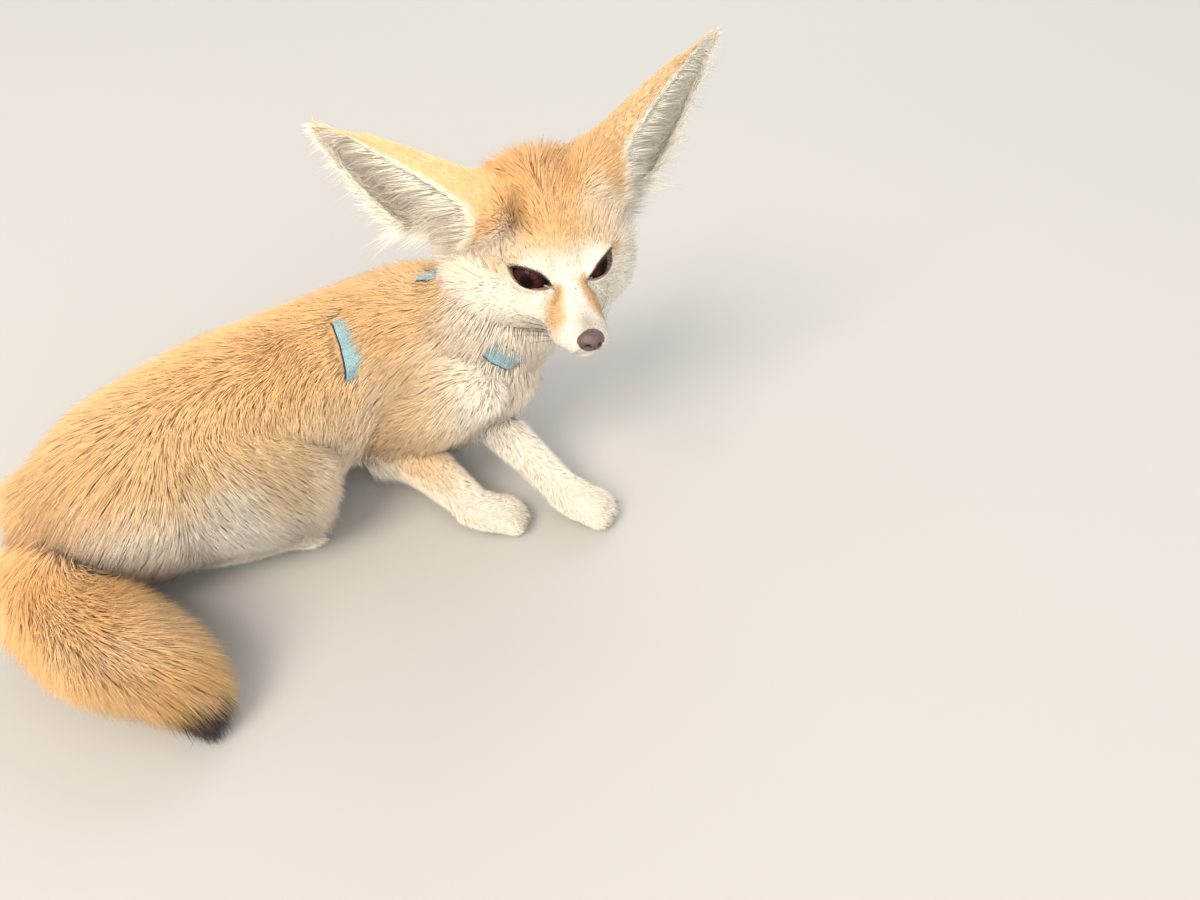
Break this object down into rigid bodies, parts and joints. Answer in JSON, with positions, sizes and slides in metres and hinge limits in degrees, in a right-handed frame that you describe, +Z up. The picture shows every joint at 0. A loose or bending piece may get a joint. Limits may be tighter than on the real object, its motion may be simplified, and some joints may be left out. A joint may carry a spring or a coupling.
{
  "type": "fennec fox",
  "caption": "A life-size fennec fox lying on its chest and haunches with its head raised, long ears spread and tail curled forward, in a soft pale blue cloth harness.",
  "frame": {"origin": "middle of the model's box in plan, on the floor it lies on", "axes": "+X along the trunk from the rump towards the chest, +Y away from the side the face looks to, +Z up"},
  "size_m": [0.307, 0.2296, 0.2097],
  "materials": {
    "coat_sand": "soft sandy orange fur, fine tapering tufts that lie along the body, paler at the roots",
    "coat_cream": "cream white fur, long on cheeks and chest, short on muzzle and feet",
    "coat_russet": "thick brush of long ochre fur with cream lights",
    "coat_dark": "dark brown tail tip fur",
    "eye": "wet dark brown eye under a clear cornea",
    "nose_leather": "damp pebbled dark nose skin",
    "claw": "dull brown horn",
    "skin_pink": "bare pink skin of eye rims, pads and inside of the ears",
    "harness_cloth": "soft pale blue woven cloth, creased, with a dark bound edge"
  },
  "bodies": {
    "root": {"eye_right": "eye", "eye_left": "eye", "nose": "nose_leather", "lower_jaw": "coat_cream", "muzzle": "coat_cream", "head": "coat_sand", "ear_right": "coat_sand", "ear_left": "coat_sand", "harness_girth_band": "harness_cloth", "harness_neck_band": "harness_cloth", "harness_back_strap": "harness_cloth", "forepaw_right": "coat_cream", "forearm_right": "coat_cream", "upper_arm_right": "coat_sand", "forepaw_left": "coat_cream", "forearm_left": "coat_cream", "upper_arm_left": "coat_sand", "hind_foot_right": "coat_cream", "shank_right": "coat_cream", "thigh_right": "coat_sand", "hind_foot_left": "coat_cream", "shank_left": "coat_cream", "thigh_left": "coat_sand", "tail_base": "coat_russet", "tail_middle": "coat_russet", "tail_end": "coat_russet", "tail_tip": "coat_dark", "neck": "coat_cream", "chest": "coat_sand", "loin": "coat_sand", "rump": "coat_sand"}
  },
  "joints": []
}
